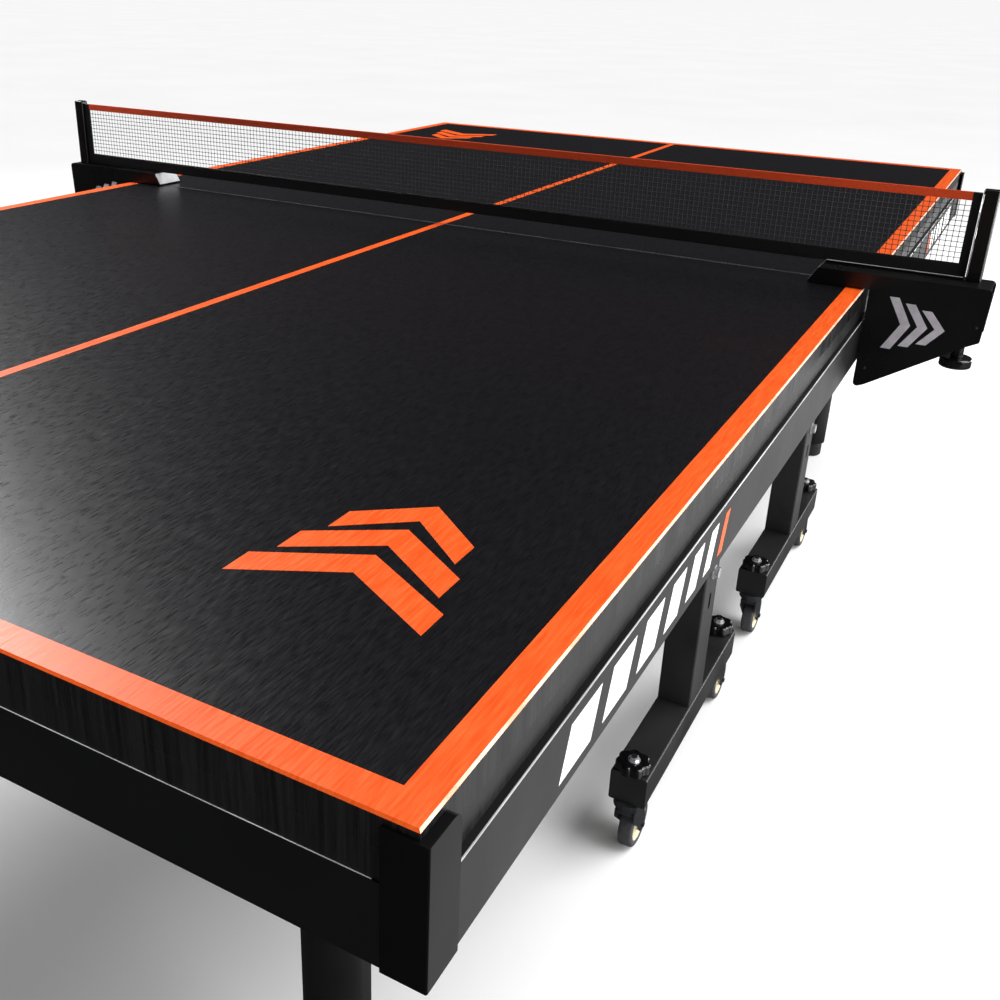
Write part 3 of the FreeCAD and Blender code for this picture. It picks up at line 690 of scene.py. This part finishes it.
def studio_world():
    """White surroundings for the eye and the floor, and dim ones for reflections."""
    world = bpy.data.worlds.new("studio")
    bpy.context.scene.world = world
    world.use_nodes = True
    tree = world.node_tree
    bright = tree.nodes["Background"]
    bright.inputs["Color"].default_value = (1.0, 1.0, 1.0, 1.0)
    bright.inputs["Strength"].default_value = 0.25
    seen = tree.nodes.new("ShaderNodeBackground")
    seen.inputs["Color"].default_value = (1.0, 1.0, 1.0, 1.0)
    seen.inputs["Strength"].default_value = 0.93
    dim = tree.nodes.new("ShaderNodeBackground")
    dim.inputs["Color"].default_value = (0.92, 0.94, 1.0, 1.0)
    dim.inputs["Strength"].default_value = 0.04
    rays = tree.nodes.new("ShaderNodeLightPath")
    glossy = tree.nodes.new("ShaderNodeMixShader")
    camera = tree.nodes.new("ShaderNodeMixShader")
    tree.links.new(rays.outputs["Is Glossy Ray"], glossy.inputs[0])
    tree.links.new(bright.outputs[0], glossy.inputs[1])
    tree.links.new(dim.outputs[0], glossy.inputs[2])
    tree.links.new(rays.outputs["Is Camera Ray"], camera.inputs[0])
    tree.links.new(glossy.outputs[0], camera.inputs[1])
    tree.links.new(seen.outputs[0], camera.inputs[2])
    tree.links.new(camera.outputs[0], tree.nodes["World Output"].inputs["Surface"])


def studio_floor():
    """Pale floor, a wide flat disc just under the feet and wheels."""
    material, tree, shader = new_material("studio_floor", specular_ior_level=0.0)
    patches = noise(tree, (0.8, 0.8, 0.8))
    colour = blend_colours(tree, spread(tree, patches, 0.0, 1.0), srgb(246, 246, 246), srgb(250, 250, 250))
    tree.links.new(colour, shader.inputs["Base Color"])
    tree.links.new(spread(tree, patches, 0.75, 0.85), shader.inputs["Roughness"])
    radius, steps = 60.0, 96
    mesh = bpy.data.meshes.new("studio_floor")
    turns = [2 * math.pi * i / steps for i in range(steps)]
    height = cad_low.z - 0.5 * MM
    rim = [(radius * math.cos(turn), radius * math.sin(turn), height) for turn in turns]
    mesh.from_pydata(rim, [], [range(steps)])
    mesh.materials.append(material)
    floor = bpy.data.objects.new("studio_floor", mesh)
    floor.visible_glossy = False
    bpy.context.scene.collection.objects.link(floor)


def studio_camera():
    camera = bpy.data.cameras.new("camera")
    camera.sensor_width = 36.0
    camera.lens = CAMERA_LENS
    camera.shift_x, camera.shift_y = CAMERA_SHIFT
    holder = bpy.data.objects.new("camera", camera)
    holder.location = CAMERA_PLACE
    holder.rotation_euler = [math.radians(angle) for angle in CAMERA_TURN]
    bpy.context.scene.collection.objects.link(holder)
    bpy.context.scene.camera = holder


# ---------------------------------------------------------------- build
finish_nodes()
for half in HALVES:
    border_lines(half)
    seam_trim(half)
    board_mark(half)
    apron_marks(half)
    apron_ledge_highlight(half)
for stem in CASTERS:
    caster_wheel(stem)
    knob_nut(stem)
net_cloth()
for side in SIDES:
    post_trim(side)
    bracket_details(side)

studio_world()
studio_floor()
overhead_sun()
softbox("right_softbox", (3.1, -0.4, 0.7), (0.7, -0.3, 0.6), (3.2, 0.9), 60)
softbox("left_softbox", (-3.1, 0.2, 3.5), (-0.2, -1.0, 0.76), (1.5, 1.5), 220)
softbox("far_softbox", (3.3, 3.4, 0.7), (0.77, -0.5, 0.65), (1.6, 1.2), 90)
softbox("floor_bounce", (1.35, 0.55, 0.02), (1.35, 0.55, 1.0), (1.1, 3.1), 6.5)
softbox("top_softbox", (0.8, 1.5, 3.6), (0.2, 0.0, 0.7), (2.5, 2.5), 8)
studio_camera()
bpy.context.scene.view_settings.view_transform = "Standard"
